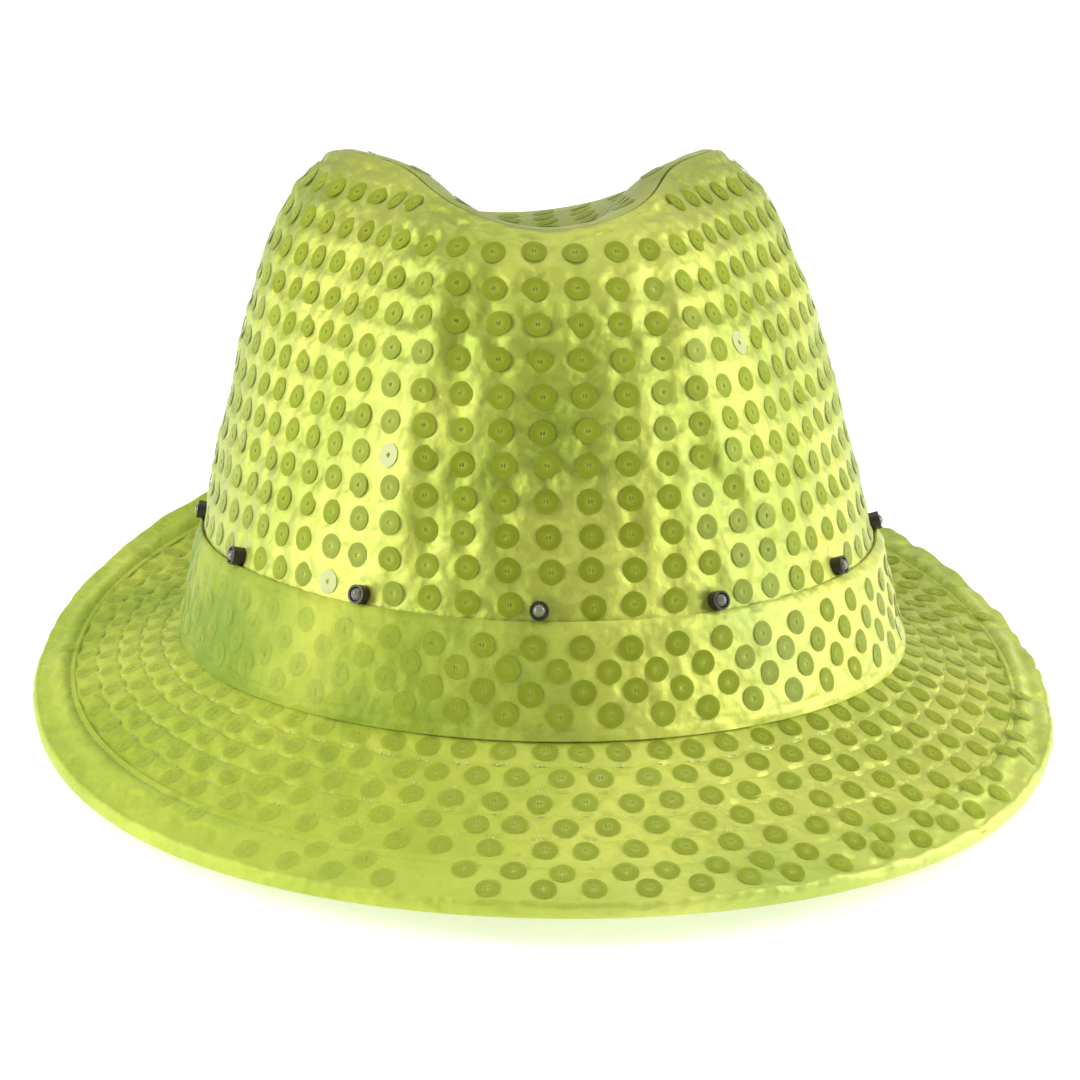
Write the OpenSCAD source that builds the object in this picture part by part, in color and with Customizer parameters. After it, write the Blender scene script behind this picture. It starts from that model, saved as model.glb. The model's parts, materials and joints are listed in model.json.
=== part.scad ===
// Light-up sequinned party fedora (trilby), millimetres, +Z up, front of the hat toward -Y.
// The hat is drawn in its own frame, with the plane of the head opening at z = 0, and then laid back
// on a table until the front half of the brim edge and the back of the underside both touch z = 0.

/* [Head] */
// circumference inside the sweatband
head_size = 565; // [550:5:580]
// width of the head opening over its length
head_ratio = 0.826; // [0.8:0.002:0.85]

/* [Crown] */
// height of the tip edge at the front middle
crown_front_h = 106.5; // [102:0.5:110]
// height of the tip edge at the sides
crown_side_h = 115.5; // [112:0.5:120]
// height of the tip edge at the back middle
crown_back_h = 90; // [86:0.5:96]
// height of the middle of the dent in the tip
dent_h = 85; // [80:0.5:90]
// half the width of the tip
tip_half_w = 45.5; // [44:0.5:50]
// half the length of the tip
tip_half_l = 74; // [71:0.5:76]
// how much narrower the tip is at the front than at the back
tip_taper = 0.18; // [0.1:0.01:0.25]
// how far the middle of the tip lies behind the middle of the head
tip_back = 9; // [6:0.5:12]
// sideways droop of the soft crown
crown_lean = -3.5; // [-4:0.5:4]
// depth of the pinch at each side of the front
side_pinch = 7; // [4:0.5:8]
// how far the middle of the front is pushed flat
front_flat = 4; // [1:0.5:5]

/* [Brim] */
// half the width of the hat over the brim
brim_half_w = 121; // [118:0.5:127]
// half the length of the hat over the brim
brim_half_l = 143; // [138:0.5:146]
// how far the brim edge dips below the opening at the front
brim_front_drop = 23.4; // [20:0.2:28]
// how far the brim edge dips below the opening at the sides
brim_side_drop = 11.6; // [10:0.2:15]
// how far the brim edge turns up at the back
brim_back_rise = 22; // [18:0.2:27]
// width of the folded strip that binds the brim edge
binding_w = 9.5; // [7:0.5:11]

/* [Band and lights] */
// height of the hat band
band_h = 25.4; // [23:0.2:28]
// number of lights around the band
led_count = 12; // [10:1:14]
// angle of the first light from the front middle
led_first = -5.5; // [-10:0.5:0]

/* [Battery case] */
// angle of the case around the crown, from the front middle
case_angle = 100; // [96:1:104]
// height of the middle of the case
case_h = 58; // [56:0.5:60]
// how far the button presses in
button_travel = 0.9; // [0.5:0.1:1]

/* [Hidden] */
$fn = 48;
around = 64;                 // points around each fabric ring
fabric = 0.5;
gap = 0.3;
buckram = 1.2;               // crown stiffener
brim_board = 0.8;            // brim stiffener
brim_gap = 0.15;             // the brim's layers are stitched flat together
sweat_t = 0.8;
wire_d = 1.2;
// depths measured inward from the outer face of the crown fabric
buckram_d = fabric + gap;
channel_d = buckram_d + buckram;
wire_depth = channel_d + gap + wire_d / 2;
lining_d = channel_d + 2 * gap + wire_d;
sweat_d = lining_d + fabric + gap;
inner_d = sweat_d + sweat_t;
// head oval inside the sweatband, and the crown's own oval outside it
head_b = head_size / (2 * PI * sqrt((1 + head_ratio ^ 2) / 2));
base_a = head_ratio * head_b + inner_d;
base_b = head_b + inner_d;
// tip edge height as h0 + h1 cos a + h2 cos 2a, and the same for the brim edge
crown_h1 = (crown_front_h - crown_back_h) / 2;
crown_h2 = ((crown_front_h + crown_back_h) / 2 - crown_side_h) / 2;
crown_h0 = crown_side_h + crown_h2;
brim_e1 = -(brim_front_drop + brim_back_rise) / 2;
brim_e2 = ((brim_back_rise - brim_front_drop) / 2 + brim_side_drop) / 2;
brim_e0 = brim_e2 - brim_side_drop;
brim_shift = -3;             // middle of the brim outline along Y
brim_w = 38;                 // mean width of the brim, from the crown to its edge
slope_k = 1.15;              // vertical over square thickness on the sloping brim and tip
pinch_a = 58;                // angle of the pinch from the front middle
pinch_spread = 20;
flat_spread = 24;
band_gap = 0.3;
band_t = 1;
band_foot = 1.2;
sweat_top = 34;
sweat_foot = -1.6;
under_q = -0.12;             // inner flange of the underside, as a share of the brim width
board_q = -0.1;              // inner edge of the brim board, short of the sweatband
bind_edge = 0.3;             // clear space between the fold of the binding and the edge it wraps
led_d = 3;
led_tip = 3.1;
sleeve_d = 4.3;
sleeve_bore = 3.4;
sleeve_out = 2.4;
led_hole = sleeve_d + 0.6;
led_h = band_h + sleeve_d / 2 + 0.2;
lead_d = 0.5;
lead_off = 0.8;
case_x = 25;                 // case size up the wall, along the wall and into the head space
case_y = 38;
case_depth = 9.6;
case_stand = 2.8;            // the flat back stands off the curved lining and only the ears come near it
case_wall = 1.4;
case_corner = 2;
lid_t = 1.6;
ear_r = 3.2;
ear_hole = 2;
cell_d = 20;
cell_t = 3.2;
cell_y = -7;
cell_z = 1.9;
switch_x = 3;
switch_y = 10.5;
switch_w = 6;
switch_z = 4.05;
switch_top = 7.5;
boss_x = -8.6;
boss_y = 11;
lead_y = 8;                  // where the battery lead enters the case
lead_z = 4.3;
lead_angle = case_angle + 5;
lead_cross_h = 38.5;         // height at which the lead passes through the lining
cap_d = 5.6;
flange_d = 7.4;
flange_z = switch_top + button_travel + 0.1;
cap_top = 13.2;

// ---------- shape of the crown and brim ----------

function bump(x, spread) = exp(-(x / spread) ^ 2);
// height of the tip edge at angle a from the front
function rim_h(a) = crown_h0 + crown_h1 * cos(a) + crown_h2 * cos(2 * a);
// share of the way from the base oval to the tip outline at level t
function inward(t) = 0.66 * t + 0.24 * t ^ 6 + 0.1 * t ^ 24;
// how far the wall is pushed in at angle a and level t
function pinch(a, t) = max(t, 0) ^ 1.5 * (side_pinch * bump(abs(a) - pinch_a, pinch_spread)
    + front_flat * bump(a, flat_spread));
// middle of the crown at level t
function mid(t) = [crown_lean * t, tip_back * inward(t)];
function outline(a, t) = let (w = inward(t)) [
    base_a * sin(a) * (1 - w) + tip_half_w * sin(a) * (1 - tip_taper * cos(a)) * w + crown_lean * t,
    -base_b * cos(a) * (1 - w) + (tip_back - tip_half_l * cos(a)) * w];
// point of the wall in plan, moved toward the middle of its level by d and the pinch
function wall_xy(a, t, d) = let (p = outline(a, t), c = mid(t), r = norm(p - c))
    c + (p - c) * (1 - (d + pinch(a, t)) / r);
// height of the dished tip at a share rho of the way out to its edge
function tip_h(a, rho) = dent_h + (rim_h(a) - dent_h) * (1 - cos(180 * rho)) / 2;
function rim_share(a, d) = 1 - d / norm(wall_xy(a, 1, 0) - mid(1));
function wall_h(a, d) = tip_h(a, rim_share(a, d)) - slope_k * d;
// point of the crown wall at level t, depth d inside the outer face
function wall_point(a, t, d) = let (p = wall_xy(a, t, d)) [p.x, p.y, t * wall_h(a, d)];
// the same at height h
function wall_at(a, h, d) = wall_point(a, h / wall_h(a, d), d);
// point of the tip, rho of the way out, depth d below its upper face
function tip_point(a, rho, d) = let (c = mid(1), p = wall_xy(a, 1, 0))
    [c.x + (p.x - c.x) * rho, c.y + (p.y - c.y) * rho, tip_h(a, rho) - slope_k * d];

function brim_edge_h(a) = brim_e0 + brim_e1 * cos(a) + brim_e2 * cos(2 * a);
// point of the brim, q of the way out, depth d below its upper face, moved e outward
function brim_point(a, q, d, e = 0) = let (
    inner = [base_a * sin(a), -base_b * cos(a)],
    outer = [brim_half_w * sin(a), brim_shift - brim_half_l * cos(a)],
    w = norm(outer - inner), p = inner + (outer - inner) * (q + e / w))
    [p.x, p.y, brim_edge_h(a) * max(q, 0) ^ (1.2 - 0.3 * cos(a)) - slope_k * d];

// ---------- how the hat lies on the table ----------

under_depth = 2 * fabric + 2 * brim_gap + brim_board;
bind_depth = under_depth + brim_gap + fabric;
under_points = [for (a = [0:5:355]) for (q = [0:0.1:0.9]) brim_point(a, q, under_depth)];
edge_points = [for (a = [0:5:355]) brim_point(a, 1, bind_depth, bind_edge)];
touch_points = concat(under_points, edge_points);
function laid_h(p, tilt) = p.z * cos(tilt) - p.y * sin(tilt);
function laid_y(p, tilt) = p.y * cos(tilt) + p.z * sin(tilt);
function lowest(tilt, side) = min([for (p = touch_points) if (p.y * side > 0) laid_h(p, tilt)]);
// halve the span of tilts until the front and the back touch together
function find_tilt(low, high, steps) = let (t = (low + high) / 2)
    steps == 0 ? t : lowest(t, -1) > lowest(t, 1) ? find_tilt(low, t, steps - 1)
    : find_tilt(t, high, steps - 1);
rest_tilt = find_tilt(2, 14, 24);
rest_h = -lowest(rest_tilt, -1);
edge_y = [for (p = edge_points) laid_y(p, rest_tilt)];
rest_shift = -(min(edge_y) + max(edge_y)) / 2;

module on_table() translate([0, rest_shift, rest_h]) rotate([-rest_tilt, 0, 0]) children();

// ---------- closed skins ----------

// n rings of m points, each ring closed, and the last ring joined to the first
function ring_faces(n, m) = [for (i = [0:n - 1]) for (j = [0:m - 1])
    let (k = ((i + 1) % n) * m, next = (j + 1) % m, p = i * m + j, q = i * m + next, r = k + next, s = k + j)
    each [[p, q, r], [p, r, s]]];
// n open strips of m points, with one extra point that closes each end
function bowl_faces(n, m) = concat(
    [for (i = [0:n - 1]) for (j = [0:m - 2])
        let (p = i * m + j, q = p + 1, r = ((i + 1) % n) * m + j + 1, s = r - 1)
        each [[p, q, r], [p, r, s]]],
    [for (i = [0:n - 1]) [n * m, i * m, ((i + 1) % n) * m]],
    [for (i = [0:n - 1]) [n * m + 1, ((i + 1) % n) * m + m - 1, i * m + m - 1]]);
function angles(n) = [for (i = [0:n - 1]) 360 * i / n - 180];

module ring_skin(rows) polyhedron(points = [for (row = rows) each row],
    faces = ring_faces(len(rows), len(rows[0])), convexity = 10);
module bowl_skin(rows, start, end) polyhedron(points = concat([for (row = rows) each row], [start, end]),
    faces = bowl_faces(len(rows), len(rows[0])), convexity = 10);

// the wall of the crown between heights given as levels, between two depths
module wall_skin(levels, d1, d2) {
    n = len(levels);
    ring_skin([for (a = angles(around)) concat(
        [for (t = levels) wall_point(a, t, d1)],
        [for (i = [n - 1:-1:0]) wall_point(a, levels[i], d2)])]);
}
// an upright ring that follows the crown between two heights
module hoop_skin(h1, h2, d1, d2, steps) {
    hs = [for (i = [0:steps]) h1 + (h2 - h1) * i / steps];
    ring_skin([for (a = angles(around)) concat(
        [for (h = hs) wall_at(a, h, d1)],
        [for (i = [steps:-1:0]) wall_at(a, hs[i], d2)])]);
}
// the dished tip of the crown inside depth edge_d, between two depths
module tip_skin(edge_d, d1, d2, steps) {
    c = tip_point(0, 0, 0);
    shares = [for (i = [1:steps]) i / steps];
    bowl_skin([for (a = angles(around)) let (rho = rim_share(a, edge_d)) concat(
        [for (f = shares) tip_point(a, f * rho, d1)],
        [for (i = [steps - 1:-1:0]) tip_point(a, shares[i] * rho, d2)])],
        c - [0, 0, slope_k * d1], c - [0, 0, slope_k * d2]);
}
// a layer of the brim between shares q1 and q2 of its width and between two depths
module brim_skin(q1, q2, d1, d2, steps) {
    qs = concat(q1 < 0 ? [q1] : [], [for (i = [0:steps]) max(q1, 0) + (q2 - max(q1, 0)) * i / steps]);
    n = len(qs);
    ring_skin([for (a = angles(around)) concat(
        [for (i = [n - 1:-1:0]) brim_point(a, qs[i], d1)],
        [for (q = qs) brim_point(a, q, d2)])]);
}

// ---------- places on the crown wall ----------

function wall_turn(a, h) = let (v = wall_at(a + 1, h, 0) - wall_at(a - 1, h, 0)) atan2(v.y, v.x) - 90;
function wall_lean(a, h) = let (v = wall_at(a, h + 4, 0) - wall_at(a, h - 4, 0), u = wall_turn(a, h))
    atan2(-(v.x * cos(u) + v.y * sin(u)), v.z);
// +Z outward from the wall, +Y along it in the direction of growing angle
module outward(a, h, d) translate(wall_at(a, h, d)) rotate([0, 0, wall_turn(a, h)])
    rotate([0, 90 - wall_lean(a, h), 0]) children();
module each_led() for (i = [0:led_count - 1]) outward(led_first + 360 * i / led_count, led_h, 0) children();
// +X up the wall, +Y along it, +Z into the head space, from the back face of the battery case
case_d = sweat_d + case_stand;
module case_place() outward(case_angle, case_h, case_d) rotate([0, 180, 0]) children();
// a point of the case's own frame in the hat's frame
function case_point(p) = let (u = wall_turn(case_angle, case_h), l = wall_lean(case_angle, case_h))
    wall_at(case_angle, case_h, case_d) + p.x * [-sin(l) * cos(u), -sin(l) * sin(u), cos(l)]
    + p.y * [-sin(u), cos(u), 0] - p.z * [cos(u) * cos(l), sin(u) * cos(l), sin(l)];

// ---------- fabric pieces ----------

wall_levels = [0, 0.2, 0.4, 0.55, 0.68, 0.79, 0.87, 0.93, 0.97, 1];

module crown_tip() color("yellowgreen") on_table() tip_skin(buckram_d, 0, fabric, 8);
module crown_side_panel() color("yellowgreen") on_table() difference() {
    wall_skin(wall_levels, 0, fabric);
    each_led() cylinder(h = 12, d = led_hole, center = true);
}
// half of the stiffened wall; the halves butt at the two sides of the hat
module half_stiffener(side) difference() {
    wall_skin(wall_levels, buckram_d, channel_d);
    each_led() cylinder(h = 12, d = led_hole, center = true);
    translate([-base_b, side > 0 ? gap / 2 - 2 * base_b : -gap / 2, -crown_side_h])
        cube([2 * base_b, 2 * base_b, 3 * crown_side_h]);
}
module front_stiffener() color("white") on_table() half_stiffener(-1);
module back_stiffener() color("white") on_table() half_stiffener(1);
module tip_stiffener() color("white") on_table() tip_skin(channel_d + gap, buckram_d, channel_d, 8);
module lining_side() color("ivory") on_table() difference() {
    wall_skin([for (t = wall_levels) max(t, 0.01)], lining_d, lining_d + fabric);
    outward(lead_angle, lead_cross_h, lining_d) cylinder(h = 8, d = 3.4, center = true);
}
module lining_tip() color("ivory") on_table() tip_skin(sweat_d, lining_d, lining_d + fabric, 6);
module sweatband() color("whitesmoke") on_table() hoop_skin(sweat_foot, sweat_top, sweat_d, inner_d, 3);
module hat_band() color("yellowgreen") on_table()
    hoop_skin(band_foot, band_h, -band_gap - band_t, -band_gap, 3);

module brim_top() color("yellowgreen") on_table() brim_skin(0.01, 1, 0, fabric, 7);
module brim_stiffener() color("white") on_table()
    brim_skin(board_q, 1, fabric + brim_gap, fabric + brim_gap + brim_board, 6);
module brim_underside() color("yellowgreen") on_table()
    brim_skin(under_q, 1, under_depth - fabric, under_depth, 7);
// a folded strip: two flaps and the fold around the edge of the brim
module brim_binding() color("yellowgreen") on_table() {
    flap = 1 - binding_w / brim_w;
    bend = 1 - binding_w / brim_w / 2;
    under = under_depth + brim_gap;
    over = -brim_gap - fabric;
    reach = bind_edge + fabric;
    ring_skin([for (a = angles(around)) [
        brim_point(a, flap, over), brim_point(a, flap, -brim_gap),
        brim_point(a, bend, -brim_gap), brim_point(a, 1, -brim_gap, bind_edge),
        brim_point(a, 1, under, bind_edge), brim_point(a, bend, under),
        brim_point(a, flap, under), brim_point(a, flap, bind_depth),
        brim_point(a, bend, bind_depth), brim_point(a, 1, bind_depth, bind_edge),
        brim_point(a, 1, under_depth, reach), brim_point(a, 1, 0, reach),
        brim_point(a, 1, over, bind_edge), brim_point(a, bend, over)]]);
}

// ---------- lights and wires ----------

module led_lenses() color("white") on_table() each_led() {
    translate([0, 0, -1]) cylinder(h = led_tip - led_d / 2 + 1, d = led_d);
    translate([0, 0, led_tip - led_d / 2]) sphere(d = led_d);
}
module led_sleeves() color("black") on_table() each_led() difference() {
    translate([0, 0, -channel_d]) cylinder(h = channel_d + sleeve_out, d = sleeve_d);
    cylinder(h = 4 * sleeve_out, d = sleeve_bore, center = true);
}
module led_leads() color("silver") on_table() each_led() for (y = [-lead_off, lead_off])
    translate([0, y, -channel_d - gap / 2]) cylinder(h = channel_d + gap / 2 - 1.05, d = lead_d);
module led_wire_ring() color("black") on_table()
    ring_skin([for (a = angles(72)) [for (b = [0:45:315])
        wall_at(a, led_h + wire_d / 2 * sin(b), wire_depth - wire_d / 2 * cos(b))]]);

// a round wire along a path of points that climbs, with flat ends
function wire_ring(path, i) = let (
    p = path[i], v = path[min(i + 1, len(path) - 1)] - path[max(i - 1, 0)],
    side = [-sin(wall_turn(lead_angle, case_h)), cos(wall_turn(lead_angle, case_h)), 0],
    up = cross(side, v) / norm(cross(side, v)))
    [for (b = [0:45:315]) p + wire_d / 2 * (cos(b) * side + sin(b) * up)];
module battery_lead() color("black") on_table() {
    climb = [[led_h + 0.9, 0], [34, 0], [36.6, 0], [37.8, 0.5], [38.6, 1.4], [39.2, 2.8], [39.8, 4.4],
        [40.9, 6.2], [42, 7.7]];
    path = concat([for (c = climb) wall_at(lead_angle, c[0], wire_depth + c[1])],
        [for (x = [-1.6, 2.2]) case_point([x - case_x / 2, lead_y, lead_z])]);
    rows = [for (i = [0:len(path) - 1]) wire_ring(path, i)];
    m = len(rows[0]);
    polyhedron(points = concat([for (row = rows) each row], [path[0], path[len(path) - 1]]),
        faces = concat(
            [for (i = [0:len(rows) - 2]) for (j = [0:m - 1]) let (p = i * m + j, q = i * m + (j + 1) % m)
                each [[p, p + m, q + m], [p, q + m, q]]],
            [for (j = [0:m - 1]) [len(rows) * m, j, (j + 1) % m]],
            [for (j = [0:m - 1]) let (s = (len(rows) - 1) * m) [len(rows) * m + 1, s + (j + 1) % m, s + j]]));
}

// ---------- battery case, in its own frame ----------

module rounded_plate(x, y, r, h) linear_extrude(h) {
    square([x - 2 * r, y], center = true);
    square([x, y - 2 * r], center = true);
    for (sx = [-1, 1]) for (sy = [-1, 1]) translate([sx * (x / 2 - r), sy * (y / 2 - r)]) circle(r);
}
module sewing_ears() for (side = [-1, 1]) translate([0, side * (case_y / 2 + 2), 0]) {
    cylinder(h = case_wall, r = ear_r);
    translate([-ear_r, -2 - side * 2, 0]) cube([2 * ear_r, 4, case_wall]);
}
module battery_case() color("dimgray") on_table() case_place() difference() {
    union() {
        difference() {
            rounded_plate(case_x, case_y, case_corner, case_depth);
            translate([0, 0, case_wall])
                rounded_plate(case_x - 2 * case_wall, case_y - 2 * case_wall, case_corner / 2, case_depth);
        }
        sewing_ears();
        translate([boss_x, boss_y, case_wall / 2]) cylinder(h = case_depth - case_wall / 2 - gap, d = 4.4);
        for (p = [[-2, 15], [8, 6.5]]) translate([p.x, p.y, case_wall / 2]) cylinder(h = 2.2, d = 2);
    }
    for (side = [-1, 1]) translate([0, side * (case_y / 2 + 2), -1]) cylinder(h = 4, d = ear_hole);
    translate([boss_x, boss_y, 3]) cylinder(h = case_depth, d = 2);
    translate([-case_x / 2, lead_y, lead_z]) rotate([0, 90, 0]) cylinder(h = 4, d = 2.4, center = true);
}
module battery_lid() color("dimgray") on_table() case_place() translate([0, 0, case_depth]) difference() {
    rounded_plate(case_x, case_y, case_corner, lid_t);
    translate([boss_x, boss_y, -1]) cylinder(h = 4, d = 2.4);
    translate([boss_x, boss_y, lid_t - 0.8]) cylinder(h = 2, d = 4.4);
    translate([switch_x, switch_y, -1]) cylinder(h = 4, d = cap_d + 0.6);
}
module lid_screw() color("silver") on_table() case_place()
    translate([boss_x, boss_y, case_depth + lid_t - 0.8]) difference() {
        union() {
            cylinder(h = 1.2, d = 3.8);
            translate([0, 0, -6]) cylinder(h = 6.5, d = 1.8);
        }
        for (turn = [0, 90]) rotate([0, 0, turn]) translate([-1.2, -0.25, 0.6]) cube([2.4, 0.5, 2]);
    }
module coin_cells() color("silver") on_table() case_place() translate([0, cell_y, cell_z])
    for (i = [0, 1]) translate([0, 0, i * (cell_t + 0.1)]) cylinder(h = cell_t, d = cell_d);
module battery_contacts() color("gold") on_table() case_place() {
    translate([-3, cell_y - 4.5, case_wall + 0.1]) cube([6, 9, 0.3]);
    translate([-2.5, -9, cell_z + 2 * cell_t + 0.2]) cube([5, 12.8, 0.3]);
    translate([-2.5, 3.5, case_wall + 0.1]) cube([5, 0.3, cell_z + 2 * cell_t + 0.4 - case_wall - 0.1]);
}
module flasher_board() color("seagreen") on_table() case_place() translate([-5, 4.6, 3]) cube([15, 12.2, 1]);
module chip_blob() color("black") on_table() case_place() translate([-2.6, switch_y, 4.05])
    cylinder(h = 0.9, d = 3.6);
module push_switch() color("gray") on_table() case_place() difference() {
    translate([switch_x - switch_w / 2, switch_y - switch_w / 2, switch_z])
        cube([switch_w, switch_w, switch_top - switch_z]);
    translate([switch_x, switch_y, switch_top - 1.8]) cylinder(h = 4, d = 3.6);
}
module switch_button() color("red") on_table() case_place() translate([switch_x, switch_y, 0]) {
    translate([0, 0, switch_top - 0.3]) cylinder(h = 2, d = 3);
    translate([0, 0, flange_z]) cylinder(h = 0.8, d = flange_d);
    translate([0, 0, flange_z]) cylinder(h = cap_top - flange_z, d = cap_d);
}

crown_tip();
crown_side_panel();
front_stiffener();
back_stiffener();
tip_stiffener();
lining_side();
lining_tip();
sweatband();
hat_band();
brim_top();
brim_stiffener();
brim_underside();
brim_binding();
led_lenses();
led_sleeves();
led_leads();
led_wire_ring();
battery_lead();
battery_case();
battery_lid();
lid_screw();
coin_cells();
battery_contacts();
flasher_board();
chip_blob();
push_switch();
switch_button();
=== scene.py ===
"""Looks for the light-up sequinned fedora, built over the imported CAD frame, in metres.

The hat's fabric surfaces are made from the same shape rules as the CAD: angle a runs from the front
middle (-Y) toward +X in degrees, t is a level of the crown wall, q a share of the brim's width, and
d a depth inside the outer face. Lengths in the shape rules are millimetres in the hat's own frame.
"""
import json
import math

import bpy
import numpy as np
from mathutils import Matrix, Vector


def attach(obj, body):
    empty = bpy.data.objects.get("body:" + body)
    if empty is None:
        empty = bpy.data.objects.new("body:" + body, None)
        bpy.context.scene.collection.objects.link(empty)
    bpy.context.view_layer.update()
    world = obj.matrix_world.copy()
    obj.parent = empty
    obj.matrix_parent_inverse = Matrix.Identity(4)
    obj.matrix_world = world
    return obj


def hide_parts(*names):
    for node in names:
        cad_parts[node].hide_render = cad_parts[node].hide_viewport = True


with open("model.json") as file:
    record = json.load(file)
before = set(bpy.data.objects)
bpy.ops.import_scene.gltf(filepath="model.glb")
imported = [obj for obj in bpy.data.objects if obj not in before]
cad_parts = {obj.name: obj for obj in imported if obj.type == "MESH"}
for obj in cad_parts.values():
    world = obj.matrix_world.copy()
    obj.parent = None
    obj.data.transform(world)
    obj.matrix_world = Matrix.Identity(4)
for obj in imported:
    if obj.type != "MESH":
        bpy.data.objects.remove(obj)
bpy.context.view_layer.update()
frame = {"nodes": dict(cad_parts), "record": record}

MM = 0.001

# ------------------------------------------------------------------ sizes, mm
HEAD_SIZE, HEAD_RATIO = 565, 0.826
CROWN_FRONT, CROWN_SIDE, CROWN_BACK, DENT = 106.5, 115.5, 90, 85
TIP_HALF_W, TIP_HALF_L, TIP_TAPER, TIP_BACK = 45.5, 74, 0.18, 9
LEAN, SIDE_PINCH, FRONT_FLAT, PINCH_A = -3.5, 7, 4, 58
PINCH_SPREAD, FLAT_SPREAD = 20, 24
BRIM_HALF_W, BRIM_HALF_L, BRIM_SHIFT, BRIM_W = 121, 143, -3, 38
FRONT_DROP, SIDE_DROP, BACK_RISE = 23.4, 11.6, 22
BINDING_W, BAND_H = 9.5, 25.4
FABRIC, GAP, BRIM_GAP, BUCKRAM, BOARD, SWEAT_T, WIRE_D = 0.5, 0.3, 0.15, 1.2, 0.8, 0.8, 1.2
SLOPE_K = 1.15
BUCKRAM_D = FABRIC + GAP
CHANNEL_D = BUCKRAM_D + BUCKRAM
LINING_D = CHANNEL_D + 2 * GAP + WIRE_D
SWEAT_D = LINING_D + FABRIC + GAP
INNER_D = SWEAT_D + SWEAT_T
UNDER_DEPTH = 2 * FABRIC + 2 * BRIM_GAP + BOARD
SWEAT_FOOT, SWEAT_TOP = -1.6, 34
UNDER_Q = -0.12
BAND_IN, BAND_OUT = -0.3, -1.3
LED_COUNT, LED_FIRST, LED_H = 12, -5.5, BAND_H + 2.35

HEAD_B = HEAD_SIZE / (2 * math.pi * math.sqrt((1 + HEAD_RATIO**2) / 2))
BASE_A = HEAD_RATIO * HEAD_B + INNER_D
BASE_B = HEAD_B + INNER_D
CROWN_H1 = (CROWN_FRONT - CROWN_BACK) / 2
CROWN_H2 = ((CROWN_FRONT + CROWN_BACK) / 2 - CROWN_SIDE) / 2
CROWN_H0 = CROWN_SIDE + CROWN_H2
BRIM_E1 = -(FRONT_DROP + BACK_RISE) / 2
BRIM_E2 = ((BACK_RISE - FRONT_DROP) / 2 + SIDE_DROP) / 2
BRIM_E0 = BRIM_E2 - SIDE_DROP

# the hat's own frame in the row frame, from the head opening's mount
opening = next(m for m in frame["record"]["mounts"] if m["name"] == "head_opening")
ORIGIN = Vector(opening["pos_m"])
TILT = math.atan2(-opening["axis"][1], -opening["axis"][2])
HAT = Matrix.Translation(ORIGIN) @ Matrix.Rotation(-TILT, 4, "X") @ Matrix.Scale(MM, 4)


# ------------------------------------------------------------------ shape rules
def cosd(a):
    return np.cos(np.radians(a))


def sind(a):
    return np.sin(np.radians(a))


def wrap(a):
    return (np.asarray(a) + 180.0) % 360.0 - 180.0


def bump(x, spread):
    return np.exp(-((x / spread) ** 2))


def eased(value, width):
    """From 0 up to 1 while the value goes from 0 to width."""
    return np.clip(value / width, 0, 1)


def rim_h(a):
    """Height of the crown's rim."""
    return CROWN_H0 + CROWN_H1 * cosd(a) + CROWN_H2 * cosd(2 * a)


def inward(t):
    return 0.66 * t + 0.24 * t**6 + 0.1 * t**24


def pinch(a, t):
    side = SIDE_PINCH * bump(np.abs(wrap(a)) - PINCH_A, PINCH_SPREAD)
    return np.maximum(t, 0) ** 1.5 * (side + FRONT_FLAT * bump(wrap(a), FLAT_SPREAD))


def outline(a, t):
    w = inward(t)
    tip_x = TIP_HALF_W * sind(a) * (1 - TIP_TAPER * cosd(a))
    x = BASE_A * sind(a) * (1 - w) + tip_x * w + LEAN * t
    y = -BASE_B * cosd(a) * (1 - w) + (TIP_BACK - TIP_HALF_L * cosd(a)) * w
    return x, y


def wall_xy(a, t, d):
    x, y = outline(a, t)
    mx, my = LEAN * t, TIP_BACK * inward(t)
    share = 1 - (d + pinch(a, t)) / np.hypot(x - mx, y - my)
    return mx + (x - mx) * share, my + (y - my) * share


def tip_h(a, rho):
    return DENT + (rim_h(a) - DENT) * (1 - cosd(180 * rho)) / 2


def rim_share(a, d):
    x, y = wall_xy(a, 1.0, 0.0)
    return 1 - d / np.hypot(x - LEAN, y - TIP_BACK)


def wall_h(a, d):
    return tip_h(a, rim_share(a, d)) - SLOPE_K * d


def wall_point(a, t, d):
    """Point of the crown wall at level t and depth d."""
    x, y = wall_xy(a, t, d)
    return np.stack([x, y, t * wall_h(a, d) + 0 * x], axis=-1)


def wall_at(a, h, d):
    """The same at height h."""
    return wall_point(a, h / wall_h(a, d), d)


def tip_point(a, rho, d):
    """Point of the dished tip, rho of the way out, d below its upper face."""
    x, y = wall_xy(a, 1.0, 0.0)
    return np.stack([LEAN + (x - LEAN) * rho, TIP_BACK + (y - TIP_BACK) * rho,
                     tip_h(a, rho) - SLOPE_K * d + 0 * x * rho], axis=-1)


def brim_edge_h(a):
    return BRIM_E0 + BRIM_E1 * cosd(a) + BRIM_E2 * cosd(2 * a)


def brim_point(a, q, d, e=0.0):
    """Point of the brim, q of the way out, d below its upper face, moved e outward."""
    ix, iy = BASE_A * sind(a), -BASE_B * cosd(a)
    ox, oy = BRIM_HALF_W * sind(a), BRIM_SHIFT - BRIM_HALF_L * cosd(a)
    share = q + e / np.hypot(ox - ix, oy - iy)
    z = brim_edge_h(a) * np.maximum(q, 0) ** (1.2 - 0.3 * cosd(a)) - SLOPE_K * d
    x = ix + (ox - ix) * share
    return np.stack([x, iy + (oy - iy) * share, z + 0 * x], axis=-1)


def placed(p):
    """Millimetres in the hat's frame to metres in the row frame."""
    p = np.asarray(p, float)
    m = np.array(HAT)
    return p @ m[:3, :3].T + m[:3, 3]


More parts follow.
